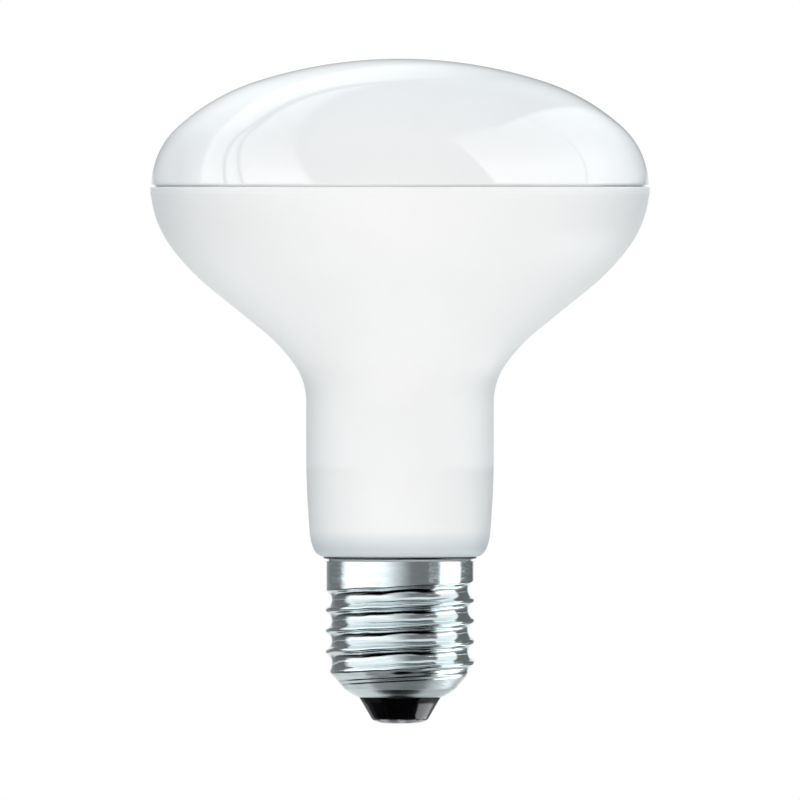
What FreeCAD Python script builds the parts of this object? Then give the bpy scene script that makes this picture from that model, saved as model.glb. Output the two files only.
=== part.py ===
import FreeCAD
import Part
import Sketcher

import math
import os

# Reflector bulb with a screw cap, +Z up from the centre contact to the dome.
# The origin lies on the axis at the tip of the centre contact, and lengths are in millimetres.

SIZES = (
    ("rim_radius", "44.0", "widest radius, at the rim where dome and body meet"),
    ("body_height", "65.2", "foot of the neck to the parting line"),
    ("dome_height", "22.6", "parting line to the top of the dome"),
    ("dome_set_back", "0.12", "the dome is this much smaller than the rim all round"),
    ("dome_side_arc", "38.2", "radius between crown and edge"),
    ("dome_edge_arc", "14.3", "radius of the dome's edge"),
    ("dome_edge_span", "46.4", "degrees turned by the dome's edge"),
    ("parting_height", "0.35", "height of the parting groove"),
    ("parting_depth", "0.6", "depth of the parting groove"),
    ("rim_wall", "2.9", "width of the rim round the dome's register"),
    ("spigot_height", "1.6", "depth of the register"),
    ("register_gap", "0.1", "clearance round and under the dome's register"),
    ("lip_height", "1.45", "plain band below the parting line"),
    ("lip_step", "0.1", "the band stands this much proud of the body"),
    ("shoulder_arc", "19.0", "radius of the body's shoulder"),
    ("shoulder_rise", "0.6", "centre of the shoulder above the parting line"),
    ("shoulder_span", "31.0", "degrees turned by the shoulder"),
    ("flank_arc", "41.0", "radius between shoulder and straight flank"),
    ("flank_slope", "51.1", "degrees between the straight flank and the axis"),
    ("throat_arc", "30.0", "radius that turns the flank towards the neck"),
    ("throat_span", "15.8", "degrees turned by that radius"),
    ("neck_top_arc", "11.5", "radius that runs into the neck"),
    ("neck_radius", "16.54", "radius of the straight neck"),
    ("neck_draft_height", "18.65", "height of the tapering lower neck"),
    ("neck_draft_arc", "165.0", "radius of the tapering lower neck"),
    ("neck_edge_arc", "9.4", "first radius of the neck's lower edge"),
    ("neck_edge_span", "18.0", "degrees turned by that radius"),
    ("neck_foot_arc", "2.2", "last radius of the neck's lower edge"),
    ("sheet", "0.3", "thickness of the shell's metal"),
    ("skirt_radius", "13.02", "plain skirt above the thread"),
    ("skirt_height", "4.034", "top of the thread to the foot of the neck"),
    ("flange_bend", "0.15", "bend radius below the flange"),
    ("flange_width", "0.5", "rolled flange beyond the skirt"),
    ("thread_radius", "13.15", "crest of the thread"),
    ("thread_depth", "1.1", "crest to root of the thread"),
    ("thread_pitch", "3.629", "seven turns to the inch"),
    ("lowest_crest", "6.2", "lowest full crest above the shell's edge, on the +X side"),
    ("thread_turns", "4", "crests of the thread, each rolled as a ring"),
    ("cone_slope", "41.0", "degrees between the shell's cone and the axis"),
    ("nose_slope", "60.0", "degrees between the shell's nose and the axis"),
    ("nose_radius", "9.7", "where cone and nose meet"),
    ("shell_bend", "1.5", "bend radius above and below the cone"),
    ("mouth_radius", "7.26", "lower edge of the shell"),
    ("tail_gap", "0.15", "clearance between the body's tail and the shell"),
    ("tail_lead", "1.0", "the tail narrows this far above the thread"),
    ("glass_height", "3.88", "insulator below the shell's edge"),
    ("glass_foot_radius", "4.95", "foot of the insulator"),
    ("glass_reveal", "0.05", "the insulator is this much smaller than the shell's edge"),
    ("glass_seat_gap", "0.06", "clearance of the insulator in the shell's mouth"),
    ("glass_top_radius", "8.9", "insulator inside the shell"),
    ("glass_rise", "5.0", "insulator above the shell's edge"),
    ("contact_radius", "4.85", "centre contact"),
    ("contact_flat", "2.0", "radius of the contact's flat tip"),
    ("contact_edge", "0.12", "thickness of the contact at its edge"),
    ("contact_crown", "0.6", "height of the contact's crown"),
    ("stem_radius", "1.2", "rivet stem of the contact"),
    ("stem_length", "6.0", "rivet stem above the plate"),
    ("stem_gap", "0.05", "clearance of the stem in the insulator"),
)

SAME_PLACE = 1e-6
CENTRE_STEPS = 20

doc = FreeCAD.newDocument("ReflectorBulb")
sheet = doc.addObject("Spreadsheet::Sheet", "Sizes")
for row, (alias, value, note) in enumerate(SIZES, start=1):
    sheet.set("A%d" % row, note)
    sheet.set("B%d" % row, value)
    sheet.setAlias("B%d" % row, alias)
doc.recompute()


def size(alias):
    """The value that the sheet holds under this name."""
    return float(sheet.get(alias))


def polar(centre, radius, angle):
    return (centre[0] + radius * math.cos(angle), centre[1] + radius * math.sin(angle))


class HalfSection:
    """A closed half section in the XZ plane, drawn point by point and turned about the axis."""

    def __init__(self, label, start):
        self.body = doc.addObject("PartDesign::Body", label)
        self.body.Label = label
        self.sketch = self.body.newObject("Sketcher::SketchObject", label + "_section")
        for plane in self.body.Origin.OriginFeatures:
            if plane.Role == "XZ_Plane":
                self.sketch.AttachmentSupport = [(plane, "")]
        self.sketch.MapMode = "FlatFace"
        self.here = start
        self.start = start
        self.ends = []

    def _join(self, geometry, first, last, tangent):
        """Ties a new edge to the one before it, at a corner or smoothly."""
        if self.ends:
            kind = "Tangent" if tangent else "Coincident"
            before = self.ends[-1]
            self.sketch.addConstraint(
                Sketcher.Constraint(kind, before[0], before[2], geometry, first))
        self.ends.append((geometry, first, last))
        return geometry

    def line(self, x, z, tangent=False):
        begin = FreeCAD.Vector(self.here[0], self.here[1], 0)
        end = FreeCAD.Vector(x, z, 0)
        geometry = self.sketch.addGeometry(Part.LineSegment(begin, end), False)
        self.here = (x, z)
        return self._join(geometry, 1, 2, tangent)

    def arc(self, centre, radius, begin, end, tangent=True):
        """An arc from one angle to another, in radians. It runs clockwise if the end is less."""
        circle = Part.Circle(FreeCAD.Vector(centre[0], centre[1], 0), FreeCAD.Vector(0, 0, 1), radius)
        clockwise = end < begin
        low, high = min(begin, end), max(begin, end)
        geometry = self.sketch.addGeometry(Part.ArcOfCircle(circle, low, high), False)
        self.here = polar(centre, radius, end)
        if clockwise:
            return self._join(geometry, 2, 1, tangent)
        return self._join(geometry, 1, 2, tangent)

    def close(self):
        """Closes the section down or up the axis."""
        edge = self.line(self.start[0], self.start[1])
        first = self.ends[0]
        self.sketch.addConstraint(Sketcher.Constraint("Coincident", edge, 2, first[0], first[1]))
        self.sketch.addConstraint(Sketcher.Constraint("PointOnObject", edge, 1, -2))
        self.sketch.addConstraint(Sketcher.Constraint("PointOnObject", edge, 2, -2))

    def drive(self, name, constraint, formula):
        """Adds a dimension and binds it to the sheet."""
        index = self.sketch.addConstraint(constraint)
        self.sketch.renameConstraint(index, name)
        self.sketch.setExpression("Constraints." + name, formula)

    def hold_x(self, name, edge, end, formula):
        point = self.sketch.getPoint(edge, end)
        self.drive(name, Sketcher.Constraint("DistanceX", -1, 1, edge, end, point.x), formula)

    def hold_z(self, name, edge, end, formula):
        point = self.sketch.getPoint(edge, end)
        self.drive(name, Sketcher.Constraint("DistanceY", -1, 1, edge, end, point.y), formula)

    def hold_radius(self, name, edge, formula):
        radius = self.sketch.Geometry[edge].Radius
        self.drive(name, Sketcher.Constraint("Radius", edge, radius), formula)

    def hold_span(self, name, edge, formula):
        arc = self.sketch.Geometry[edge]
        span = arc.LastParameter - arc.FirstParameter
        self.drive(name, Sketcher.Constraint("Angle", edge, span), formula)

    def upright(self, edge):
        self.sketch.addConstraint(Sketcher.Constraint("Vertical", edge))

    def level(self, edge):
        self.sketch.addConstraint(Sketcher.Constraint("Horizontal", edge))

    def turn(self):
        """Turns the section through a full circle about the axis."""
        solid = self.body.newObject("PartDesign::Revolution", self.body.Label + "_turned")
        solid.Profile = self.sketch
        solid.ReferenceAxis = (self.sketch, ["V_Axis"])
        solid.Angle = 360.0
        self.sketch.Visibility = False
        return self.body


SHELL_EDGE = "Sizes.contact_crown + Sizes.contact_edge + Sizes.glass_height"
THREAD_TOP = SHELL_EDGE + " + Sizes.lowest_crest + Sizes.thread_pitch * Sizes.thread_turns"
CAP_TOP = THREAD_TOP + " + Sizes.skirt_height"
PARTING = CAP_TOP + " + Sizes.body_height"

shell_edge = size("contact_crown") + size("contact_edge") + size("glass_height")
thread_top = shell_edge + size("lowest_crest") + size("thread_pitch") * size("thread_turns")
cap_top = thread_top + size("skirt_height")
parting = cap_top + size("body_height")


def diffuser_dome():
    """Glossy dome of three tangent arcs, with a register that drops into the body.

    Edge and side keep their radii, and the crown's radius follows from the height that is left.
    """
    top = parting + size("dome_height")
    edge_centre = (size("rim_radius") - size("dome_set_back") - size("dome_edge_arc"), parting)
    foot_angle = math.asin(size("parting_height") / size("dome_edge_arc"))
    edge_angle = foot_angle + math.radians(size("dome_edge_span"))
    side_centre = polar(edge_centre, size("dome_edge_arc") - size("dome_side_arc"), edge_angle)
    below_top = top - side_centre[1]
    crown_arc = ((side_centre[0] ** 2 + below_top ** 2 - size("dome_side_arc") ** 2)
                 / (2 * (below_top - size("dome_side_arc"))))
    crown_centre = (0.0, top - crown_arc)
    crown_angle = math.atan2(side_centre[1] - crown_centre[1], side_centre[0] - crown_centre[0])
    spigot_x = size("rim_radius") - size("rim_wall") - size("register_gap")

    section = HalfSection("diffuser_dome", (0.0, top))
    crown = section.arc(crown_centre, crown_arc, math.pi / 2, crown_angle)
    side = section.arc(side_centre, size("dome_side_arc"), crown_angle, edge_angle)
    edge = section.arc(edge_centre, size("dome_edge_arc"), edge_angle, foot_angle)
    foot_x, foot_z = section.here
    groove_x = edge_centre[0] + size("dome_edge_arc") - size("parting_depth")
    groove_top = section.line(groove_x, foot_z)
    groove_wall = section.line(groove_x, parting)
    seat = section.line(spigot_x, parting)
    spigot = section.line(spigot_x, parting - size("spigot_height"))
    end = section.line(0.0, parting - size("spigot_height"))
    section.close()

    section.sketch.addConstraint(Sketcher.Constraint("PointOnObject", crown, 3, -2))
    section.hold_radius("side_arc", side, "Sizes.dome_side_arc")
    section.hold_radius("edge_arc", edge, "Sizes.dome_edge_arc")
    section.hold_span("edge_span", edge, "Sizes.dome_edge_span * 1 deg")
    section.hold_x("edge_centre_x", edge, 3,
                   "Sizes.rim_radius - Sizes.dome_set_back - Sizes.dome_edge_arc")
    section.hold_z("edge_centre_z", edge, 3, PARTING)
    section.hold_z("dome_top", crown, 2, PARTING + " + Sizes.dome_height")
    section.hold_z("groove_top", groove_top, 1, PARTING + " + Sizes.parting_height")
    section.level(groove_top)
    section.hold_x("groove_depth", groove_wall, 1,
                   "Sizes.rim_radius - Sizes.dome_set_back - Sizes.parting_depth")
    section.upright(groove_wall)
    section.hold_z("seat", seat, 1, PARTING)
    section.level(seat)
    section.hold_x("spigot_radius", spigot, 1,
                   "Sizes.rim_radius - Sizes.rim_wall - Sizes.register_gap")
    section.upright(spigot)
    section.hold_z("spigot_end", spigot, 2, PARTING + " - Sizes.spigot_height")
    section.level(end)
    return section.turn()


def reflector_body():
    """Satin body: lip, S-shaped reflector, neck, and the tail that carries the cap."""
    rim = size("rim_radius")
    lip_foot = parting - size("lip_height")
    top = rim - size("lip_step")
    shoulder_z = parting + size("shoulder_rise")
    first = math.asin((shoulder_z - lip_foot) / size("shoulder_arc"))
    second = first + math.radians(size("shoulder_span"))
    slope = math.radians(size("flank_slope"))
    third = slope - math.radians(size("throat_span"))
    shoulder_centre = (top - size("shoulder_arc") * math.cos(first), shoulder_z)
    joint = polar(shoulder_centre, size("shoulder_arc"), -second)
    flank_centre = polar(joint, size("flank_arc"), math.pi - second)
    flank_top = polar(flank_centre, size("flank_arc"), -slope)
    neck_x = size("neck_radius")
    throat_foot_x = neck_x + size("neck_top_arc") * (1 - math.cos(third))
    throat_top_x = throat_foot_x + size("throat_arc") * (math.cos(third) - math.cos(slope))
    throat_top_z = flank_top[1] - (flank_top[0] - throat_top_x) / math.tan(slope)
    throat_centre = (throat_top_x + size("throat_arc") * math.cos(slope),
                     throat_top_z - size("throat_arc") * math.sin(slope))
    throat_foot = polar(throat_centre, size("throat_arc"), math.pi - third)
    neck_centre = (neck_x + size("neck_top_arc"),
                   throat_foot[1] - size("neck_top_arc") * math.sin(third))

    foot_z = cap_top
    draft_z = foot_z + size("neck_draft_height")
    edge_span = math.radians(size("neck_edge_span"))
    draft = size("neck_draft_height") / size("neck_draft_arc")
    for _ in range(CENTRE_STEPS):
        edge_end = draft + edge_span
        drop = (size("neck_edge_arc") * (math.sin(edge_end) - math.sin(draft))
                + size("neck_foot_arc") * (1 - math.sin(edge_end)))
        draft = math.asin((size("neck_draft_height") - drop) / size("neck_draft_arc"))
    draft_centre = (neck_x - size("neck_draft_arc"), draft_z)
    draft_foot = polar(draft_centre, size("neck_draft_arc"), -draft)
    edge_centre = polar(draft_foot, size("neck_edge_arc"), math.pi - draft)
    edge_foot = polar(edge_centre, size("neck_edge_arc"), -draft - edge_span)
    foot_centre = polar(edge_foot, size("neck_foot_arc"), math.pi - draft - edge_span)

    recess_floor = parting - size("spigot_height") - size("register_gap")
    recess_wall = rim - size("rim_wall")
    tail_top = size("skirt_radius") - size("sheet") - size("tail_gap")
    tail_low = size("thread_radius") - size("thread_depth") - size("sheet") - size("tail_gap")
    tail_step = thread_top + size("tail_lead")
    tail_end = shell_edge + size("glass_rise")

    section = HalfSection("reflector_body", (0.0, recess_floor))
    floor = section.line(recess_wall, recess_floor)
    wall = section.line(recess_wall, parting)
    section.line(rim, parting)
    lip = section.line(rim, lip_foot)
    step = section.line(top, lip_foot)
    shoulder = section.arc(shoulder_centre, size("shoulder_arc"), -first, -second, False)
    flank_bend = section.arc(flank_centre, size("flank_arc"), -second, -slope)
    flank = section.line(throat_top_x, throat_top_z, True)
    throat = section.arc(throat_centre, size("throat_arc"), math.pi - slope, math.pi - third)
    neck_top = section.arc(neck_centre, size("neck_top_arc"), math.pi - third, math.pi)
    neck = section.line(neck_x, draft_z, True)
    taper = section.arc(draft_centre, size("neck_draft_arc"), 0.0, -draft)
    edge = section.arc(edge_centre, size("neck_edge_arc"), -draft, -draft - edge_span)
    foot = section.arc(foot_centre, size("neck_foot_arc"), -draft - edge_span, -math.pi / 2)
    seat = section.line(tail_top, foot_z, True)
    collar = section.line(tail_top, tail_step)
    ledge = section.line(tail_low, tail_step)
    tail = section.line(tail_low, tail_end)
    end = section.line(0.0, tail_end)
    section.close()

    section.level(floor)
    section.hold_z("recess_floor", floor, 2,
                   PARTING + " - Sizes.spigot_height - Sizes.register_gap")
    section.hold_x("recess_wall", wall, 2, "Sizes.rim_radius - Sizes.rim_wall")
    section.upright(wall)
    section.hold_z("parting", wall, 2, PARTING)
    section.level(wall + 1)
    section.hold_x("rim", lip, 1, "Sizes.rim_radius")
    section.upright(lip)
    section.hold_z("lip_foot", lip, 2, PARTING + " - Sizes.lip_height")
    section.level(step)
    section.hold_x("lip_step", step, 2, "Sizes.rim_radius - Sizes.lip_step")
    section.hold_z("shoulder_centre", shoulder, 3, PARTING + " + Sizes.shoulder_rise")
    section.hold_radius("shoulder_arc", shoulder, "Sizes.shoulder_arc")
    section.hold_span("shoulder_span", shoulder, "Sizes.shoulder_span * 1 deg")
    section.hold_radius("flank_arc", flank_bend, "Sizes.flank_arc")
    section.drive("flank_slope", Sketcher.Constraint("Angle", flank, 1, -2, 2, slope),
                  "Sizes.flank_slope * 1 deg")
    section.hold_radius("throat_arc", throat, "Sizes.throat_arc")
    section.hold_span("throat_span", throat, "Sizes.throat_span * 1 deg")
    section.hold_radius("neck_top_arc", neck_top, "Sizes.neck_top_arc")
    section.hold_x("neck_radius", neck, 1, "Sizes.neck_radius")
    section.upright(neck)
    section.hold_z("neck_draft", neck, 2, CAP_TOP + " + Sizes.neck_draft_height")
    section.hold_radius("neck_draft_arc", taper, "Sizes.neck_draft_arc")
    section.hold_radius("neck_edge_arc", edge, "Sizes.neck_edge_arc")
    section.hold_span("neck_edge_span", edge, "Sizes.neck_edge_span * 1 deg")
    section.hold_radius("neck_foot_arc", foot, "Sizes.neck_foot_arc")
    section.level(seat)
    section.hold_z("seat", seat, 2, CAP_TOP)
    section.hold_x("collar", collar, 1, "Sizes.skirt_radius - Sizes.sheet - Sizes.tail_gap")
    section.upright(collar)
    section.hold_z("ledge", ledge, 1, THREAD_TOP + " + Sizes.tail_lead")
    section.level(ledge)
    section.hold_x("tail", tail, 1,
                   "Sizes.thread_radius - Sizes.thread_depth - Sizes.sheet - Sizes.tail_gap")
    section.upright(tail)
    section.hold_z("tail_end", end, 1, SHELL_EDGE + " + Sizes.glass_rise")
    section.level(end)
    return section.turn()


def arc_edge(centre, radius, begin, end):
    """An arc in the XZ plane about (radius, z) centre, through angles in radians."""
    places = [polar(centre, radius, begin + (end - begin) * share) for share in (0.0, 0.5, 1.0)]
    return Part.Arc(*[FreeCAD.Vector(r, 0, z) for r, z in places]).toShape()


def line_edge(start, end):
    return Part.makeLine(FreeCAD.Vector(start[0], 0, start[1]), FreeCAD.Vector(end[0], 0, end[1]))


class ShellSection:
    """Section of the screw shell's wall, drawn upwards at some depth below its outer face."""

    def __init__(self, inset):
        self.inset = inset
        self.edges = []
        self.here = None

    def move(self, r, z):
        """A straight run to this point, if the section isn't there already."""
        if self.here is not None and math.dist(self.here, (r, z)) > SAME_PLACE:
            self.edges.append(line_edge(self.here, (r, z)))
        self.here = (r, z)

    def bend(self, centre, radius, begin, end):
        """A run to the start of an arc, then the arc itself."""
        self.move(*polar(centre, radius, begin))
        self.edges.append(arc_edge(centre, radius, begin, end))
        self.here = polar(centre, radius, end)


def wall_section(inset):
    """The wall's line from the mouth over nose, cone and thread to the plain skirt."""
    nose = math.radians(size("nose_slope"))
    cone = math.radians(size("cone_slope"))
    pitch = size("thread_pitch")
    depth = size("thread_depth")
    root = size("thread_radius") - depth
    mouth = size("mouth_radius")
    corner = (size("nose_radius"), shell_edge + (size("nose_radius") - mouth) / math.tan(nose))
    shoulder = (root, corner[1] + (root - corner[0]) / math.tan(cone))
    section = ShellSection(inset)
    section.move(mouth - inset / math.cos(nose), shell_edge)
    for at, before, after in ((corner, nose, cone), (shoulder, cone, 0.0)):
        cut = size("shell_bend") * math.tan((before - after) / 2)
        start = (at[0] - cut * math.sin(before), at[1] - cut * math.cos(before))
        centre = polar(start, size("shell_bend"), math.pi - before)
        section.bend(centre, size("shell_bend") - inset, -before, -after)
    wave = (pitch ** 2 / 4 + depth ** 2) / (4 * depth)
    turn = math.asin(pitch / 4 / wave)
    for crest in range(int(size("thread_turns"))):
        z = shell_edge + size("lowest_crest") + pitch * crest
        below = (root + wave, z - pitch / 2)
        above = (root + wave, z + pitch / 2)
        section.bend(below, wave + inset, math.pi, math.pi - turn)
        section.bend((size("thread_radius") - wave, z), wave - inset, -turn, turn)
        section.bend(above, wave + inset, math.pi + turn, math.pi)
    rise = size("skirt_radius") - root
    ease = math.acos(1 - rise / (2 * wave))
    above = (root + wave, z + pitch / 2)
    skirt_z = above[1] + 2 * wave * math.sin(ease)
    section.bend(above, wave + inset, math.pi, math.pi - ease)
    section.bend((size("skirt_radius") - wave, skirt_z), wave - inset, -ease, 0.0)
    return section


def screw_shell():
    """Rolled sheet-metal shell: flange, plain skirt, thread, cone and nose, one wall thick."""
    metal = size("sheet")
    top = cap_top
    flange = size("skirt_radius") + size("flange_width")
    bend = size("flange_bend")
    corner = (size("skirt_radius") + bend, top - metal - bend)
    outer = wall_section(0.0)
    outer.bend(corner, bend, math.pi, math.pi / 2)
    outer.move(flange, top - metal)
    outer.move(flange, top)
    inner = wall_section(metal)
    inner.bend(corner, bend + metal, math.pi, math.pi / 2)
    outer.move(*inner.here)
    across_mouth = metal / math.cos(math.radians(size("nose_slope")))
    outer.edges.append(line_edge((size("mouth_radius"), shell_edge),
                                 (size("mouth_radius") - across_mouth, shell_edge)))
    wire = Part.Wire(Part.__sortEdges__(outer.edges + inner.edges))
    feature = doc.addObject("Part::Feature", "screw_shell")
    feature.Label = "screw_shell"
    feature.Shape = Part.Face(wire).revolve(FreeCAD.Vector(0, 0, 0), FreeCAD.Vector(0, 0, 1), 360)
    feature.Placement = FreeCAD.Placement()
    return feature


def cap_insulator():
    """Black glass cone that closes the shell's mouth, with a shoulder inside it."""
    foot = size("contact_crown") + size("contact_edge")
    edge = shell_edge
    shown = size("mouth_radius") - size("glass_reveal")
    metal_across = size("sheet") / math.cos(math.radians(size("nose_slope")))
    neck = size("mouth_radius") - metal_across - size("glass_seat_gap")
    hole = size("stem_radius") + size("stem_gap")
    nose = math.radians(size("nose_slope"))
    widest = edge + (size("glass_top_radius") - neck) / math.tan(nose)
    top = edge + size("glass_rise")
    section = HalfSection("cap_insulator", (hole, top))
    lid = section.line(size("glass_top_radius"), top)
    side = section.line(size("glass_top_radius"), widest)
    inside = section.line(neck, edge)
    seat = section.line(shown, edge)
    cone = section.line(size("glass_foot_radius"), foot)
    base = section.line(hole, foot)
    bore = section.line(hole, top)
    section.sketch.addConstraint(Sketcher.Constraint("Coincident", bore, 2, lid, 1))
    section.level(lid)
    section.hold_z("lid", lid, 2, SHELL_EDGE + " + Sizes.glass_rise")
    section.hold_x("lid_radius", lid, 2, "Sizes.glass_top_radius")
    section.upright(side)
    section.drive("inside_slope", Sketcher.Constraint("Angle", inside, 1, -2, 2, nose),
                  "Sizes.nose_slope * 1 deg")
    section.hold_x("inside_foot", inside, 2,
                   "Sizes.mouth_radius - Sizes.sheet / cos(Sizes.nose_slope * 1 deg)"
                   " - Sizes.glass_seat_gap")
    section.hold_z("shell_edge", inside, 2, SHELL_EDGE)
    section.level(seat)
    section.hold_x("shown_top", seat, 2, "Sizes.mouth_radius - Sizes.glass_reveal")
    section.hold_x("shown_foot", cone, 2, "Sizes.glass_foot_radius")
    section.hold_z("foot", cone, 2, "Sizes.contact_crown + Sizes.contact_edge")
    section.level(base)
    section.upright(bore)
    section.hold_x("bore", bore, 1, "Sizes.stem_radius + Sizes.stem_gap")
    return section.turn()


def centre_contact():
    """Pressed contact plate with a crowned face, a small flat at its tip and a rivet stem."""
    plate = size("contact_crown") + size("contact_edge")
    flat = size("contact_flat")
    rim = size("contact_radius")
    rise = size("contact_crown")
    crown = ((rim - flat) ** 2 + rise ** 2) / (2 * rise)
    turn = math.acos(1 - rise / crown)
    section = HalfSection("centre_contact", (0.0, plate + size("stem_length")))
    top = section.line(size("stem_radius"), plate + size("stem_length"))
    stem = section.line(size("stem_radius"), plate)
    face = section.line(rim, plate)
    edge = section.line(rim, rise)
    dish = section.arc((flat, crown), crown, turn - math.pi / 2, -math.pi / 2, False)
    tip = section.line(0.0, 0.0, True)
    section.close()
    section.level(top)
    section.hold_x("stem", stem, 1, "Sizes.stem_radius")
    section.hold_z("stem_top", stem, 1,
                   "Sizes.contact_crown + Sizes.contact_edge + Sizes.stem_length")
    section.upright(stem)
    section.level(face)
    section.hold_z("plate", face, 2, "Sizes.contact_crown + Sizes.contact_edge")
    section.hold_x("rim", face, 2, "Sizes.contact_radius")
    section.upright(edge)
    section.hold_z("edge", edge, 2, "Sizes.contact_crown")
    section.hold_x("flat", dish, 1, "Sizes.contact_flat")
    section.sketch.addConstraint(Sketcher.Constraint("PointOnObject", dish, 1, -1))
    section.level(tip)
    return section.turn()


pieces = [diffuser_dome(), reflector_body(), screw_shell(), cap_insulator(), centre_contact()]
doc.recompute()

for item in doc.Objects:
    if "Invalid" in item.State or "Error" in item.State:
        raise RuntimeError("%s did not build: %s" % (item.Label, item.State))
for item in doc.Objects:
    if item.TypeId == "Sketcher::SketchObject" and not item.FullyConstrained:
        raise RuntimeError("%s is not fully constrained" % item.Label)
for piece in pieces:
    shape = piece.Shape
    if shape.isNull() or not shape.isValid() or len(shape.Solids) != 1 or shape.Volume <= 0:
        raise RuntimeError("%s is not one valid solid" % piece.Label)

os.makedirs("parts", exist_ok=True)
for piece in pieces:
    piece.Shape.exportStep("parts/%s.step" % piece.Label)
    print(piece.Label, "%.1f mm3" % piece.Shape.Volume)
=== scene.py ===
import math
from math import asin, atan2, cos, pi, sin, tan

import bpy
from bpy.props import FloatProperty, FloatVectorProperty, IntProperty, PointerProperty
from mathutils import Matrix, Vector, noise


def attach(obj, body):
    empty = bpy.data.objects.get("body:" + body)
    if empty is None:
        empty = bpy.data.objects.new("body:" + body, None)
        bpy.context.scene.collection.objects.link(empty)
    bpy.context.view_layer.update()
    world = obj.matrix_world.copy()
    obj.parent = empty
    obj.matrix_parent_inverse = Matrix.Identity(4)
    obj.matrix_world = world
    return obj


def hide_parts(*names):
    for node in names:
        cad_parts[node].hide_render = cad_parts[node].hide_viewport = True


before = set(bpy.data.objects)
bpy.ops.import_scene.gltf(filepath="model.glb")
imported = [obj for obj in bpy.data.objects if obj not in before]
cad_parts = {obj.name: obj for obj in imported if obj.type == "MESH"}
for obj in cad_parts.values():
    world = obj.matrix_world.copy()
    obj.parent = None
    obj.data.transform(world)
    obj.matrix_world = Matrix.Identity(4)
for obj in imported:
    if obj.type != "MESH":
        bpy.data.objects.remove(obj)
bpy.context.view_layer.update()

bl_info = {
    "name": "Reflector bulb",
    "version": (1, 0, 0),
    "blender": (4, 5, 0),
    "location": "View3D > Sidebar > Reflector bulb",
    "description": "Dome, moulded body, rolled screw shell, black insulator and contact of a lamp",
    "category": "Object",
}

MM = 0.001

# Room between pieces that fit into each other, and how far flat faces keep their inner ring
CLEARANCE = 0.1 * MM
TAIL_GAP = 0.15 * MM
RING = 1.0 * MM
# Turns in radians by which the dome's edge starts late and its crown ends short of the pole
EDGE_START = 0.02
POLE_GAP = 0.004
TAPER_ROUNDS = 20
# Spacing of the shell's rings where it is rolled, plain and inside, and its cone's wider share
FINE_STEP = 0.09 * MM
SKIRT_STEP = 0.3 * MM
INNER_STEP = 0.6 * MM
CONE_STEPS = 1.2
# Reach of the skirt's rise beside the top groove, as a share of the pitch
SKIRT_EASE = 0.3
# Depth of the unevenness that rolling leaves, and its lumps across and along the shell
SHEET_WAVER = 0.035 * MM
SHEET_LUMPS = (2.2, 0.35)
THREAD_LUMPS = (3.4, 0.22)


def length(name, millimetres, description=""):
    return FloatProperty(name=name, description=description, default=millimetres * MM,
                         min=0.0, precision=5, subtype="DISTANCE", unit="LENGTH")


def angle(name, degrees, description=""):
    return FloatProperty(name=name, description=description, default=math.radians(degrees),
                         subtype="ANGLE", unit="ROTATION")


def number(name, value, description=""):
    return FloatProperty(name=name, description=description, default=value, min=0.0)


def share(name, value, description=""):
    return FloatProperty(name=name, description=description, default=value, min=0.0, max=1.0,
                         subtype="FACTOR")


def colour(name, value, description):
    return FloatVectorProperty(name=name, description=description, default=value, size=3,
                               min=0.0, max=1.0, subtype="COLOR")


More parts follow.
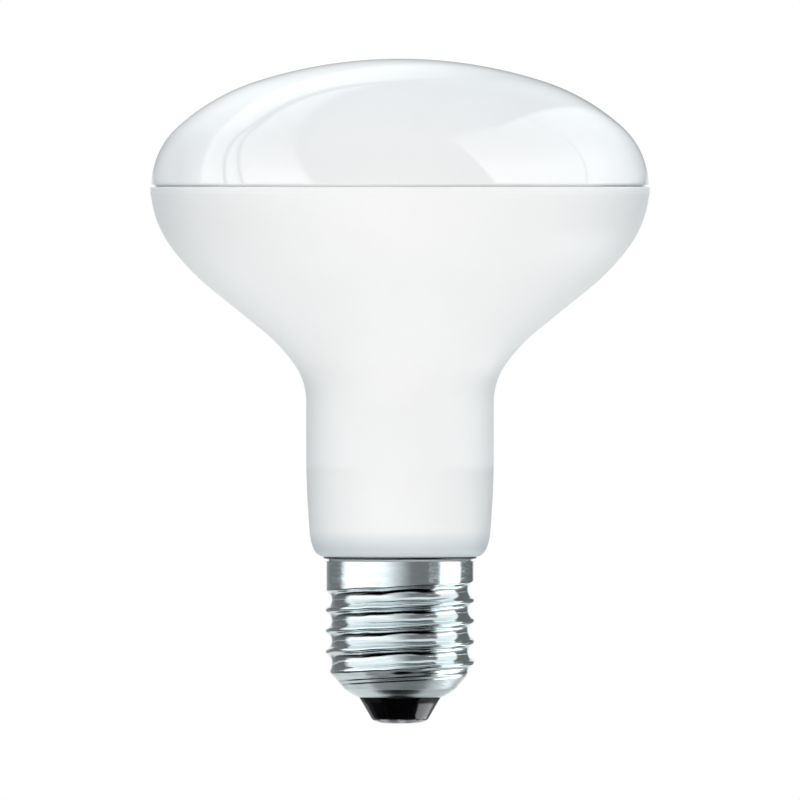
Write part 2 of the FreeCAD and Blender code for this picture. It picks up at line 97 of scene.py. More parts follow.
class LampSizes(bpy.types.PropertyGroup):
    """Sizes of the lamp, as its source has them."""

    parting: length("Parting line", 94.55, "Its height above the contact's tip")
    rim: length("Rim radius", 44.0, "Outer radius of the lip")
    dome_height: length("Dome height", 22.6, "Crown of the dome above the parting line")
    dome_set_back: length("Dome set back", 0.12, "How far the dome stands inside the lip")
    dome_side_arc: length("Dome side arc", 38.2, "Radius of the dome between crown and edge")
    dome_edge_arc: length("Dome edge arc", 14.3)
    dome_edge_span: angle("Dome edge span", 46.4)
    groove_height: length("Groove height", 0.35, "Shadow gap under the dome")
    groove_depth: length("Groove depth", 0.6, "Shadow gap under the dome")
    rim_wall: length("Rim wall", 2.9, "Width of the rim round the dome's register")
    spigot: length("Register height", 1.6, "Register below the dome")
    lip: length("Lip height", 1.45)
    lip_step: length("Lip step", 0.1, "Step below the lip")
    shoulder_arc: length("Shoulder arc", 19.0)
    shoulder_rise: length("Shoulder rise", 0.6, "Centre of the shoulder above the parting line")
    shoulder_span: angle("Shoulder span", 31.0)
    flank_arc: length("Flank arc", 41.0, "Radius between shoulder and flank")
    flank_slope: angle("Flank slope", 51.1, "From the axis")
    throat_arc: length("Throat arc", 30.0)
    throat_span: angle("Throat span", 15.8)
    neck_top_arc: length("Neck top arc", 11.5, "Radius between throat and neck")
    neck: length("Neck radius", 16.54)
    neck_draft_height: length("Taper height", 18.65, "Where the neck starts to taper")
    neck_draft_arc: length("Taper arc", 165.0)
    neck_edge_arc: length("Neck edge arc", 9.4, "Radius of the neck's lower edge")
    neck_edge_span: angle("Neck edge span", 18.0)
    neck_foot_arc: length("Neck foot arc", 2.2)
    cap_top: length("Cap top", 29.35, "Foot of the neck above the contact's tip")
    sheet: length("Sheet", 0.3, "Thickness of the shell's metal")
    skirt: length("Skirt radius", 13.02, "Plain skirt above the thread")
    flange: length("Flange radius", 13.52, "Rolled flange under the neck")
    flange_bend: length("Flange bend", 0.15, "Bend below the flange")
    thread: length("Thread radius", 13.15, "Crest of the thread")
    thread_depth: length("Thread depth", 1.1, "Crest to root")
    thread_pitch: length("Thread pitch", 3.629, "Rise of the thread in a turn")
    thread_crest: length("Crest radius", 0.45, "Rounding of the thread's crest")
    first_crest: length("First crest", 10.8, "Lowest full crest on the +X side")
    full_turns: number("Full turns", 3.55, "Turns of full depth")
    run_in: number("Run in", 0.25, "Turns over which the thread starts")
    run_out: number("Run out", 0.78, "Turns over which the thread fades")
    thread_wander: length("Thread wander", 0.16, "How far the thread strays from its height")
    cone_slope: angle("Cone slope", 41.0, "Shell's cone, from the axis")
    nose_slope: angle("Nose slope", 60.0, "Shell's nose, from the axis")
    nose: length("Nose radius", 9.7, "Where cone and nose meet")
    cone_swell: length("Cone swell", 0.07, "Outward bulge of the cone")
    line_depth: length("Roll line depth", 0.08, "Roll's lines on the cone")
    line_reach: length("Roll line reach", 0.3, "Half width of the roll's lines on the cone")
    line_low: length("Lower roll line", 7.75, "Its height in front")
    line_high: length("Upper roll line", 8.4, "Its height in front")
    shell_bend: length("Shell bend", 1.5, "Bends above and below the cone")
    mouth: length("Mouth radius", 7.26, "Lower edge of the shell")
    mouth_height: length("Mouth height", 4.6, "Above the contact's tip")
    glass_foot: length("Insulator foot radius", 4.95, "Lower edge of the insulator")
    glass_reveal: length("Insulator reveal", 0.05, "How far the insulator stands inside the mouth")
    glass_rise: length("Insulator rise", 5.0, "Top of the insulator above the mouth")
    glass_top: length("Insulator top radius", 8.9, "Shoulder of the insulator inside the shell")
    contact: length("Contact radius", 4.85)
    contact_flat: length("Contact flat", 2.0, "Flat tip")
    contact_edge: length("Contact edge", 0.12, "Upright edge")
    contact_crown: length("Contact crown", 0.6)


class LampFinishes(bpy.types.PropertyGroup):
    """Colours and gloss of the lamp's materials."""

    dome_colour: colour("Dome", (0.892, 0.912, 0.918), "Opal white of the dome")
    dome_rough: share("Dome roughness", 0.025)
    body_colour: colour("Body", (0.915, 0.936, 0.938), "White of the moulded body")
    # Painted shade: the grey tone that the foot of the neck is darkened to
    painted_foot_shade: colour("Foot of the neck", (0.70, 0.76, 0.785), "Greying of the neck's foot")
    body_rough: share("Body roughness", 0.42)
    shell_colour: colour("Shell", (0.745, 0.815, 0.838), "Plated metal of the screw shell")
    shell_rough: share("Shell roughness", 0.10, "Roughness of the bright skirt and thread")
    # Painted shadow: how dark the flange's edge is painted, where the neck's foot shades the gap
    painted_flange_shadow: share("Flange tone", 0.14, "Dark shade of the flange's edge")
    cone_rough: share("Cone roughness", 0.23)
    insulator_colour: colour("Insulator", (0.0015, 0.0015, 0.002), "Black of the insulator")
    insulator_rough: share("Insulator roughness", 0.07)
    contact_colour: colour("Contact", (0.30, 0.30, 0.31), "Metal of the centre contact")
    contact_rough: share("Contact roughness", 0.2)


class StudioSetup(bpy.types.PropertyGroup):
    """Camera, lamps and floor."""

    camera_distance: length("Camera distance", 6000.0, "Camera in front of the lamp's axis")
    camera_height: length("Camera height", 85.0, "Camera above the contact's tip")
    aim_height: length("Aim height", 57.0, "Height that the camera looks at")
    view_width: length("View width", 141.0, "Width of the picture at the lamp's axis")
    sensor: number("Sensor", 36.0, "Sensor width in millimetres")
    floor_drop: length("Floor drop", 350.0, "Floor below the contact's tip")
    floor_size: length("Floor size", 6000.0, "Side of the floor")
    card_height: length("Card height", 45.0, "Card above the contact's tip")
    card_radius: length("Card radius", 600.0, "Radius of the card above the cap")
    soft_level: FloatProperty(name="Soft light", description="Power of the front soft light",
                              default=14.3, min=0.0, subtype="POWER", unit="POWER")
    soft_tint: colour("Soft light tint", (0.98, 0.87, 0.82), "Colour of the front soft light")
    ambient: colour("Ambient", (0.457, 0.525, 0.563), "Light from all round")
    ambient_top: colour("Ambient from above", (0.87, 0.86, 0.86), "Light from overhead")
    around: IntProperty(name="Facets around", description="Facets round each turned piece",
                        default=192, min=24)


def sizes():
    return bpy.context.scene.lamp_sizes


def finishes():
    return bpy.context.scene.lamp_finishes


def studio():
    return bpy.context.scene.lamp_studio


# Sections, as (radius, height) points

def polar(centre, radius, turn):
    return centre[0] + radius * cos(turn), centre[1] + radius * sin(turn)


def arc(centre, radius, begin, end, steps):
    """Points on an arc of a section."""
    return [polar(centre, radius, begin + (end - begin) * step / steps)
            for step in range(steps + 1)]


def rounded(before, corner, after, radius, steps=4):
    """Points that round off a corner between two straight runs."""
    corner = Vector(corner)
    back = (Vector(before) - corner).normalized()
    ahead = (Vector(after) - corner).normalized()
    opening = back.angle(ahead)
    cut = radius / tan(opening / 2)
    middle = (back + ahead).normalized()
    centre = corner + middle * (radius / sin(opening / 2))
    start = corner + back * cut - centre
    end = corner + ahead * cut - centre
    begin = atan2(start.y, start.x)
    swing = (atan2(end.y, end.x) - begin + pi) % (2 * pi) - pi
    return arc(centre, radius, begin, begin + swing, steps)


def smooth(value, low, high):
    """0 below low, 1 above high, and an even rise between them."""
    part = min(max((value - low) / (high - low), 0.0), 1.0)
    return part * part * (3.0 - 2.0 * part)


# Modelling

def turned(name, section, closed_ring=False):
    """A turned piece, drawn out ring by ring along its section from a circle.

    It ends in a pole, or back on its first ring where the piece is a closed ring.
    """
    radius, height = section[0]
    bpy.ops.object.select_all(action="DESELECT")
    bpy.ops.mesh.primitive_circle_add(vertices=studio().around, radius=radius,
                                      fill_type="NOTHING" if closed_ring else "TRIFAN")
    piece = bpy.context.object
    piece.name = name
    piece.data.name = name
    bpy.ops.object.mode_set(mode="EDIT")
    bpy.ops.mesh.select_mode(type="EDGE")
    bpy.ops.mesh.select_all(action="SELECT")
    bpy.ops.transform.translate(value=(0.0, 0.0, height))
    if not closed_ring:
        bpy.ops.mesh.region_to_loop()
    for next_radius, next_height in section[1:]:
        rise = (0.0, 0.0, next_height - height)
        bpy.ops.mesh.extrude_edges_move(TRANSFORM_OT_translate={"value": rise})
        spread = next_radius / radius
        bpy.ops.transform.resize(value=(spread, spread, 1.0), center_override=(0.0, 0.0, 0.0))
        radius = next_radius
        height = next_height
    if not closed_ring:
        bpy.ops.mesh.merge(type="CENTER")
    bpy.ops.mesh.select_all(action="SELECT")
    bpy.ops.mesh.remove_doubles(threshold=1e-6)
    bpy.ops.mesh.normals_make_consistent(inside=False)
    bpy.ops.object.mode_set(mode="OBJECT")
    return piece


def hand_over(piece, node, material, sharp=32.0):
    """Smooths the piece, up to edges this sharp, and puts it in its CAD node's place."""
    bpy.ops.object.select_all(action="DESELECT")
    bpy.context.view_layer.objects.active = piece
    piece.select_set(True)
    bpy.ops.object.shade_smooth_by_angle(angle=math.radians(sharp))
    piece.data.materials.clear()
    piece.data.materials.append(material)
    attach(piece, "root")
    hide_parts(node)


# The lamp's sections

def dome_section():
    """Register, shadow gap, edge, side and crown of the dome, from its underside to its pole."""
    s = sizes()
    parting = s.parting
    top = parting + s.dome_height
    edge_centre = (s.rim - s.dome_set_back - s.dome_edge_arc, parting)
    foot_turn = asin(s.groove_height / s.dome_edge_arc)
    first_turn = foot_turn + EDGE_START
    edge_turn = foot_turn + s.dome_edge_span
    side_centre = polar(edge_centre, s.dome_edge_arc - s.dome_side_arc, edge_turn)
    below_top = top - side_centre[1]
    crown_arc = ((side_centre[0] ** 2 + below_top ** 2 - s.dome_side_arc ** 2)
                 / (2 * (below_top - s.dome_side_arc)))
    crown_centre = (0.0, top - crown_arc)
    crown_turn = atan2(side_centre[1] - crown_centre[1], side_centre[0])
    spigot = s.rim - s.rim_wall - CLEARANCE
    groove = edge_centre[0] + s.dome_edge_arc - s.groove_depth
    foot = polar(edge_centre, s.dome_edge_arc, foot_turn)
    lower = polar(edge_centre, s.dome_edge_arc, first_turn)
    section = [(spigot - RING, parting - s.spigot), (spigot, parting - s.spigot),
               (spigot, parting), (groove, parting), (groove, foot[1])]
    section += rounded((groove, foot[1]), foot, lower, radius=0.08 * MM)
    section += arc(edge_centre, s.dome_edge_arc, first_turn, edge_turn, steps=26)
    section += arc(side_centre, s.dome_side_arc, edge_turn, crown_turn, steps=18)[1:]
    section += arc(crown_centre, crown_arc, crown_turn, pi / 2 - POLE_GAP, steps=26)[1:]
    return section


def body_section():
    """Recess, lip, shoulder, flank, throat, neck and tail of the body."""
    s = sizes()
    lip_foot = s.parting - s.lip
    below_lip = s.rim - s.lip_step
    shoulder_z = s.parting + s.shoulder_rise
    first = asin((shoulder_z - lip_foot) / s.shoulder_arc)
    second = first + s.shoulder_span
    slope = s.flank_slope
    third = slope - s.throat_span
    shoulder_centre = (below_lip - s.shoulder_arc * cos(first), shoulder_z)
    joint = polar(shoulder_centre, s.shoulder_arc, -second)
    flank_centre = polar(joint, s.flank_arc, pi - second)
    flank_top = polar(flank_centre, s.flank_arc, -slope)
    throat_foot_x = s.neck + s.neck_top_arc * (1 - cos(third))
    throat_top_x = throat_foot_x + s.throat_arc * (cos(third) - cos(slope))
    throat_top_z = flank_top[1] - (flank_top[0] - throat_top_x) / tan(slope)
    throat_centre = (throat_top_x + s.throat_arc * cos(slope),
                     throat_top_z - s.throat_arc * sin(slope))
    throat_foot = polar(throat_centre, s.throat_arc, pi - third)
    neck_centre = (s.neck + s.neck_top_arc, throat_foot[1] - s.neck_top_arc * sin(third))
    draft_z = s.cap_top + s.neck_draft_height
    draft = s.neck_draft_height / s.neck_draft_arc
    # The taper's turn settles on the height that is left above the neck's edge and foot
    for _ in range(TAPER_ROUNDS):
        edge_end = draft + s.neck_edge_span
        drop = (s.neck_edge_arc * (sin(edge_end) - sin(draft))
                + s.neck_foot_arc * (1 - sin(edge_end)))
        draft = asin((s.neck_draft_height - drop) / s.neck_draft_arc)
    draft_centre = (s.neck - s.neck_draft_arc, draft_z)
    draft_foot = polar(draft_centre, s.neck_draft_arc, -draft)
    edge_centre = polar(draft_foot, s.neck_edge_arc, pi - draft)
    edge_end = draft + s.neck_edge_span
    edge_foot = polar(edge_centre, s.neck_edge_arc, -edge_end)
    foot_centre = polar(edge_foot, s.neck_foot_arc, pi - edge_end)
    seat = s.parting - s.spigot - CLEARANCE
    wall = s.rim - s.rim_wall
    tail = s.skirt - s.sheet - TAIL_GAP
    tail_low = s.thread - s.thread_depth - s.sheet - TAIL_GAP
    tail_step = s.cap_top - 3.0 * MM
    tail_end = s.mouth_height + s.glass_rise + CLEARANCE
    chamfer = 2.0 * MM

    section = [(wall - RING, seat), (wall, seat)]
    section += rounded((wall, seat), (wall, s.parting), (s.rim, s.parting),
                       radius=0.1 * MM, steps=2)
    section += rounded((wall, s.parting), (s.rim, s.parting), (s.rim, lip_foot),
                       radius=0.12 * MM)
    section += rounded((s.rim, s.parting), (s.rim, lip_foot), (below_lip, lip_foot),
                       radius=0.05 * MM)
    section += arc(shoulder_centre, s.shoulder_arc, -first, -second, steps=22)
    section += arc(flank_centre, s.flank_arc, -second, -slope, steps=8)[1:]
    section += [(throat_top_x, throat_top_z)]
    section += arc(throat_centre, s.throat_arc, pi - slope, pi - third, steps=12)[1:]
    section += arc(neck_centre, s.neck_top_arc, pi - third, pi, steps=12)[1:]
    section += [(s.neck, draft_z)]
    section += arc(draft_centre, s.neck_draft_arc, 0.0, -draft, steps=10)[1:]
    section += arc(edge_centre, s.neck_edge_arc, -draft, -edge_end, steps=8)[1:]
    section += arc(foot_centre, s.neck_foot_arc, -edge_end, -pi / 2, steps=10)[1:]
    section += [(tail, s.cap_top), (tail, tail_step), (tail_low, tail_step),
                (tail_low, tail_end + chamfer), (tail_low - chamfer, tail_end)]
    return section


def shell_line(inset, step, skirt_step):
    """The shell's line from its mouth over nose, cone and root of the thread to the skirt."""
    s = sizes()
    root = s.thread - s.thread_depth
    corner = (s.nose, s.mouth_height + (s.nose - s.mouth) / tan(s.nose_slope))
    shoulder = (root, corner[1] + (root - corner[0]) / tan(s.cone_slope))
    line = [(s.mouth - inset / cos(s.nose_slope), s.mouth_height)]
    for at, before, after in ((corner, s.nose_slope, s.cone_slope),
                              (shoulder, s.cone_slope, 0.0)):
        cut = s.shell_bend * tan((before - after) / 2)
        start = (at[0] - cut * sin(before), at[1] - cut * cos(before))
        centre = polar(start, s.shell_bend, pi - before)
        reach = math.dist(line[-1], start)
        runs = max(1, round(reach / (CONE_STEPS * step)))
        last = line[-1]
        for run in range(1, runs):
            part = run / runs
            swell = s.cone_swell * sin(pi * part) if after == s.cone_slope else 0.0
            line.append((last[0] + (start[0] - last[0]) * part + swell * cos(before),
                         last[1] + (start[1] - last[1]) * part - swell * sin(before)))
        line += arc(centre, s.shell_bend - inset, -before, -after, steps=5)
    skirt_foot = s.cap_top - s.sheet - s.flange_bend
    thread_end = s.first_crest + s.thread_pitch * (s.full_turns + s.run_in + 0.5)
    for end, reach in ((thread_end, step), (skirt_foot, skirt_step)):
        height = line[-1][1]
        rings = max(1, round((end - height) / reach))
        for ring in range(1, rings + 1):
            line.append((root - inset, height + (end - height) * ring / rings))
    return line


def thread_lift(turn, height):
    """How far the rolled thread and the skirt stand above the root at this place."""
    s = sizes()
    crest = s.first_crest
    pitch = s.thread_pitch
    last_groove = crest + pitch * s.full_turns
    faded = last_groove + pitch * s.run_in
    part_turn = turn / (2 * pi)
    turns = (height - crest) / pitch - part_turn
    groove = crest + pitch * (math.floor(turns) + 0.5 + part_turn)
    ridge = crest + pitch * (math.floor(turns + 0.5) + part_turn)
    cut = 1.0 - smooth(groove, last_groove, faded)
    stand = smooth(ridge, crest - pitch * s.run_out, crest)
    # The skirt begins above the top groove, which fades out within this turn
    top = crest + pitch * (math.floor((faded - crest) / pitch - 0.5 - part_turn) + 0.5 + part_turn)
    top_cut = 1.0 - smooth(top, last_groove, faded)
    reach = SKIRT_EASE * pitch
    above = (top_cut * smooth(height, top - reach, top + reach)
             + (1.0 - top_cut) * smooth(height, top - pitch - reach, top - pitch + reach))
    full = s.thread_depth - (s.thread - s.skirt) * above
    left_over = 1.0 - thread_wave(abs(height - groove)) / s.thread_depth
    return full * (1.0 - left_over * cut) * stand


def thread_wave(from_root):
    """Section of the thread: a wide round groove and a narrower round crest, tangent."""
    s = sizes()
    both = (s.thread_pitch ** 2 / 4 + s.thread_depth ** 2) / (2 * s.thread_depth)
    groove_arc = both - s.thread_crest
    slope = 2 * math.atan(2 * s.thread_depth / s.thread_pitch)
    if from_root < groove_arc * sin(slope):
        return groove_arc - math.sqrt(groove_arc ** 2 - from_root ** 2)
    from_crest = s.thread_pitch / 2 - from_root
    return s.thread_depth - s.thread_crest + math.sqrt(s.thread_crest ** 2 - from_crest ** 2)


def waver(turn, height, lumps):
    """Slow noise round and along the shell."""
    across, along = lumps
    return noise.noise(Vector((cos(turn) * across, sin(turn) * across,
                               height / MM * along)))


def roll_lines(turn, height):
    """Depth of the two lines where the thread runs out on the cone in front."""
    s = sizes()
    from_front = (turn + 1.5 * pi) % (2 * pi) - pi
    climb = s.thread_pitch * from_front / (2 * pi)
    depth = 0.0
    for line in (s.line_low, s.line_high):
        apart = min(1.0, abs(height - line - climb) / s.line_reach)
        depth += (1.0 - apart ** 2) ** 2
    return s.line_depth * depth * (0.5 + 0.5 * cos(from_front))


def roll_thread(shell):
    """Moves the turned shell's wall out to the thread and the skirt."""
    s = sizes()
    flange_foot = s.cap_top - s.sheet - s.flange_bend - 0.001 * MM
    lowest = s.nose - 1.2 * MM
    calm = (s.cap_top - 5.0 * MM, s.cap_top - 2.5 * MM)
    start = (s.mouth_height + 1.5 * MM, s.first_crest - 2.6 * MM)
    for vertex in shell.data.vertices:
        x, y, z = vertex.co
        radius = math.hypot(x, y)
        if z > flange_foot or radius < lowest:
            continue
        turn = atan2(y, x) % (2 * pi)
        uneven = 1.0 - smooth(z, *calm)
        started = smooth(z, *start)
        wander = waver(turn, z, THREAD_LUMPS) * s.thread_wander * uneven
        lift = thread_lift(turn, z + wander) * started
        lift += waver(turn, z, SHEET_LUMPS) * SHEET_WAVER * uneven * started
        lift -= roll_lines(turn, z)
        spread = (radius + lift) / radius
        vertex.co.x = x * spread
        vertex.co.y = y * spread


def shell_section():
    """The shell's wall, up the outside, over the flange and down the inside."""
    s = sizes()
    if not 0.0 < s.thread - s.thread_depth < s.skirt:
        raise RuntimeError("the thread's root has to lie inside the skirt")
    outer = shell_line(0.0, FINE_STEP, SKIRT_STEP)
    inner = shell_line(s.sheet, INNER_STEP, INNER_STEP)
    under = s.cap_top - s.sheet
    bend_centre = (s.skirt + s.flange_bend, under - s.flange_bend)
    flange = arc(bend_centre, s.flange_bend, pi, pi / 2, steps=4)[1:]
    edge = [(s.skirt, under), (s.flange, under), (s.flange, s.cap_top), (s.skirt, s.cap_top)]
    for corner in (0, 1):
        flange += rounded(*edge[corner:corner + 3], radius=0.13 * MM, steps=3)
    flange += arc(bend_centre, s.flange_bend + s.sheet, pi / 2, pi, steps=4)[:-1]
    return outer + flange + inner[::-1] + outer[:1]


def insulator_section():
    """Sealed top inside the shell, shoulder, cone and foot of the insulator."""
    s = sizes()
    top = s.mouth_height + s.glass_rise
    foot_z = s.contact_crown + s.contact_edge
    mouth = s.mouth - s.sheet / cos(s.nose_slope) - s.glass_reveal
    seen = s.mouth - s.glass_reveal
    step_z = s.mouth_height - 0.01 * MM
    rise = (s.glass_top - mouth) / tan(s.nose_slope)
    section = [(s.glass_top - 2 * RING, top)]
    section += rounded((0.0, top), (s.glass_top, top), (s.glass_top, foot_z), radius=0.4 * MM)
    section += [(s.glass_top, s.mouth_height + rise), (mouth, s.mouth_height + 0.02 * MM),
                (mouth, step_z)]
    section += rounded((mouth, step_z), (seen, step_z), (s.glass_foot, foot_z),
                       radius=0.06 * MM, steps=3)
    section += [(seen + (s.glass_foot - seen) * sixths / 6,
                 s.mouth_height + (foot_z - s.mouth_height) * sixths / 6)
                for sixths in (2, 3, 4, 5)]
    section += rounded((seen, s.mouth_height), (s.glass_foot, foot_z), (0.0, foot_z),
                       radius=0.25 * MM, steps=5)
    section += [(s.glass_foot - RING, foot_z), (RING, foot_z)]
    return section


def contact_section():
    """The contact's plate, from its upper face over its edge to its crowned tip."""
    s = sizes()
    top = s.contact_crown + s.contact_edge
    edge = (s.contact, top)
    low_edge = (s.contact, s.contact_crown)
    flat = s.contact_flat
    run = s.contact - flat
    crown_arc = (run ** 2 + s.contact_crown ** 2) / (2 * s.contact_crown)
    crown_turn = asin(run / crown_arc)
    section = [(s.contact - RING, top)]
    section += rounded((0.0, top), edge, low_edge, radius=0.04 * MM, steps=2)
    section += [low_edge]
    section += arc((flat, crown_arc), crown_arc, crown_turn - pi / 2, -pi / 2, steps=12)[1:]
    section += [(flat * 0.4, 0.0)]
    return section


# Materials

WHITE = (1.0, 1.0, 1.0)
EVEN = (1.0, 1.0, 1.0)


def new_material(name):
    material = bpy.data.materials.new(name)
    material.use_nodes = True
    return material


def scaled(tone, factor):
    return tuple(min(1.0, channel * factor) for channel in tone)


class Nodes:
    """A node tree that is filled by kind of node."""

    def __init__(self, tree):
        self.tree = tree

    def feed(self, socket, value):
        """Joins another node's output to an input, or sets the input to a value."""
        if isinstance(value, bpy.types.NodeSocket):
            self.tree.links.new(value, socket)
        else:
            socket.default_value = value

    def add(self, kind, inputs=None, **settings):
        """A node with its settings, and its inputs by name or number."""
        node = self.tree.nodes.new("ShaderNode" + kind)
        for name, value in settings.items():
            setattr(node, name, value)
        for name, value in (inputs or {}).items():
            self.feed(node.inputs[name], value)
        return node

    def split(self, vector):
        """The three coordinates of a vector."""
        node = self.add("SeparateXYZ", {"Vector": vector})
        return [node.outputs[axis] for axis in "XYZ"]


class Finish(Nodes):
    """A procedural material with one shader, whose fixed inputs are given by name."""

    def __init__(self, name, **fixed):
        self.material = new_material(name)
        super().__init__(self.material.node_tree)
        self.shader = self.tree.nodes["Principled BSDF"]
        self.place = self.add("TexCoord").outputs["Object"]
        for socket, value in fixed.items():
            self.drive(socket, value)

    def drive(self, socket, value):
        self.feed(self.shader.inputs[socket], value)

    def height(self):
        """Height on the piece, in metres."""
        return self.split(self.place)[2]

    def noise(self, lumps, detail=2.0, stretch=EVEN, rough=0.5):
        """Noise on the piece, in lumps per metre, squeezed along an axis by stretch."""
        mapping = self.add("Mapping", {"Vector": self.place, "Scale": stretch})
        texture = self.add("TexNoise", {"Vector": mapping.outputs["Vector"], "Scale": lumps,
                                        "Detail": detail, "Roughness": rough})
        return texture.outputs["Fac"]

    def spread(self, factor, low, high, begin=0.3, end=0.7):
        """A factor spread between two values."""
        reach = self.add("MapRange", {"Value": factor, "From Min": begin, "From Max": end,
                                      "To Min": low, "To Max": high})
        return reach.outputs["Result"]

    def tones(self, factor, dark, light, low=0.0, high=1.0):
        """A colour between two tones."""
        ramp = self.add("ValToRGB", {"Fac": factor})
        for element, position, tone in zip(ramp.color_ramp.elements, (low, high), (dark, light)):
            element.position = position
            element.color = (*tone, 1.0)
        return ramp.outputs["Color"]

    def shades(self, factor, tone, dark, light, low=0.3, high=0.7):
        """A colour between a darker and a lighter shade of one tone."""
        return self.tones(factor, scaled(tone, dark), scaled(tone, light), low, high)

    def tinted(self, base, tint):
        """One colour times another."""
        mix = self.add("Mix", {"Factor": 1.0, "A": base, "B": tint}, data_type="RGBA",
                       blend_type="MULTIPLY")
        return mix.outputs["Result"]

    def roughen(self, factor, rough, low, high):
        """Roughness between two shares of one value."""
        self.drive("Roughness", self.spread(factor, rough * low, rough * high))

    def relief(self, heights, depth, strength=0.5, under=None):
        """Relief of this depth in metres, over the relief under it."""
        bump = self.add("Bump", {"Height": heights, "Strength": strength, "Distance": depth})
        if under is not None:
            self.feed(bump.inputs["Normal"], under)
        return bump.outputs["Normal"]


def dome_material():
    """Polished opal plastic."""
    f = finishes()
    finish = Finish("Polished opal dome", IOR=1.49)
    cloud = finish.noise(lumps=55.0, detail=3.0)
    finish.drive("Base Color", finish.shades(cloud, f.dome_colour, dark=0.985, light=1.012))
    haze = finish.noise(lumps=240.0, detail=4.0)
    finish.roughen(haze, f.dome_rough, low=0.8, high=1.35)
    flow = finish.noise(lumps=38.0, detail=1.0)
    finish.drive("Normal", finish.relief(flow, depth=0.06 * MM, strength=0.35))
    return finish.material


def body_material():
    """Satin white moulding with a fine even grain, and painted shade that greys the foot of the
    neck.
    """
    f = finishes()
    cap_top = sizes().cap_top
    finish = Finish("Satin white body", IOR=1.46)
    cloud = finish.noise(lumps=48.0, detail=3.0)
    white = finish.shades(cloud, f.body_colour, dark=0.985, light=1.01)
    # Painted shade: the base colour greys towards the neck's foot, standing in for the shade that
    # falls there above the cap
    above_foot = finish.spread(finish.height(), 0.0, 1.0, begin=cap_top + 1.4 * MM,
                               end=cap_top + 4.7 * MM)
    foot_painted_shade = finish.tones(above_foot, f.painted_foot_shade, WHITE)
    finish.drive("Base Color", finish.tinted(white, foot_painted_shade))
    rub = finish.noise(lumps=420.0, detail=4.0)
    finish.roughen(rub, f.body_rough, low=0.85, high=1.15)
    grain = finish.noise(lumps=5200.0)
    finish.drive("Normal", finish.relief(grain, depth=0.01 * MM))
    return finish.material


def shell_material():
    """Bright plated sheet metal, brushed below the thread, with painted shadow darkening its
    flange's edge.
    """
    f = finishes()
    s = sizes()
    finish = Finish("Plated screw shell", Metallic=1.0)
    streaks = finish.noise(lumps=160.0, detail=5.0, stretch=(1.0, 1.0, 9.0), rough=0.6)
    plated = finish.shades(streaks, f.shell_colour, dark=0.9, light=1.03)
    height = finish.height()
    # Painted shadow: a dark band on the flange's edge, standing in for the shadow gap under the
    # neck's foot
    under_flange = s.cap_top - s.sheet
    rim = finish.spread(height, 0.0, 1.0, begin=under_flange - 0.20 * MM,
                        end=under_flange - 0.08 * MM)
    shade = finish.tones(rim, WHITE, (f.painted_flange_shadow,) * 3)
    finish.drive("Base Color", finish.tinted(plated, shade))
    brushed = finish.spread(height, f.shell_rough, f.cone_rough,
                            begin=s.first_crest - 1.2 * MM, end=s.first_crest - 3.0 * MM)
    fine = finish.noise(lumps=900.0, detail=4.0, stretch=(1.0, 1.0, 12.0), rough=0.6)
    varied = finish.add("Math", {0: finish.spread(fine, low=-0.10, high=0.15), 1: brushed,
                                 2: brushed}, operation="MULTIPLY_ADD")
    finish.drive("Roughness", varied.outputs["Value"])
    dents = finish.noise(lumps=260.0, stretch=(1.0, 1.0, 3.0))
    lines = finish.relief(fine, depth=0.012 * MM)
    finish.drive("Normal", finish.relief(dents, depth=0.06 * MM, under=lines))
    return finish.material


def insulator_material():
    """Glossy black vitreous insulator."""
    f = finishes()
    finish = Finish("Black insulator", IOR=1.52)
    cloud = finish.noise(lumps=300.0, detail=3.0)
    finish.drive("Base Color", finish.shades(cloud, f.insulator_colour, dark=0.7, light=1.6))
    haze = finish.noise(lumps=700.0, detail=4.0)
    finish.roughen(haze, f.insulator_rough, low=0.7, high=1.6)
    flow = finish.noise(lumps=240.0)
    finish.drive("Normal", finish.relief(flow, depth=0.04 * MM))
    return finish.material


def contact_material():
    """Tinned brass plate with light turning marks."""
    f = finishes()
    finish = Finish("Tinned contact", Metallic=1.0)
    cloud = finish.noise(lumps=500.0, detail=4.0)
    finish.drive("Base Color", finish.shades(cloud, f.contact_colour, dark=0.25, light=1.6,
                                             low=0.42, high=0.60))
    rub = finish.noise(lumps=1600.0, detail=4.0)
    finish.roughen(rub, f.contact_rough, low=0.7, high=1.5)
    finish.drive("Normal", finish.relief(cloud, depth=0.03 * MM, strength=0.4))
    return finish.material


# Studio

ROOM_TINT = (0.96, 0.99, 1.0, 1.0)
# The highest level that a ramp can hold
LEVEL_TOP = 2.6

# Planes that bound what the dome mirrors, as a direction and a distance from the room's centre
TENT_FRONT = ((-0.835, 0.463, -0.298), 0.173)
TENT_BACK = ((-0.566, 0.823, -0.046), 0.763)
TENT_SEAMS = (((-0.559, 0.811, -0.174), 0.527), ((-0.637, 0.735, -0.233), 0.452))
WINDOW_LEFT = ((0.893, 0.362, 0.267), 0.398)
WINDOW_TOP = ((0.856, -0.211, -0.471), -0.164)
WINDOW_BAR = ((0.449, 0.890, -0.081), 0.55)
WINDOW_ACROSS = (0.279, 0.960, 0.0)
LOW_WINDOW = ((0.944, 0.0, 0.330), 0.36)

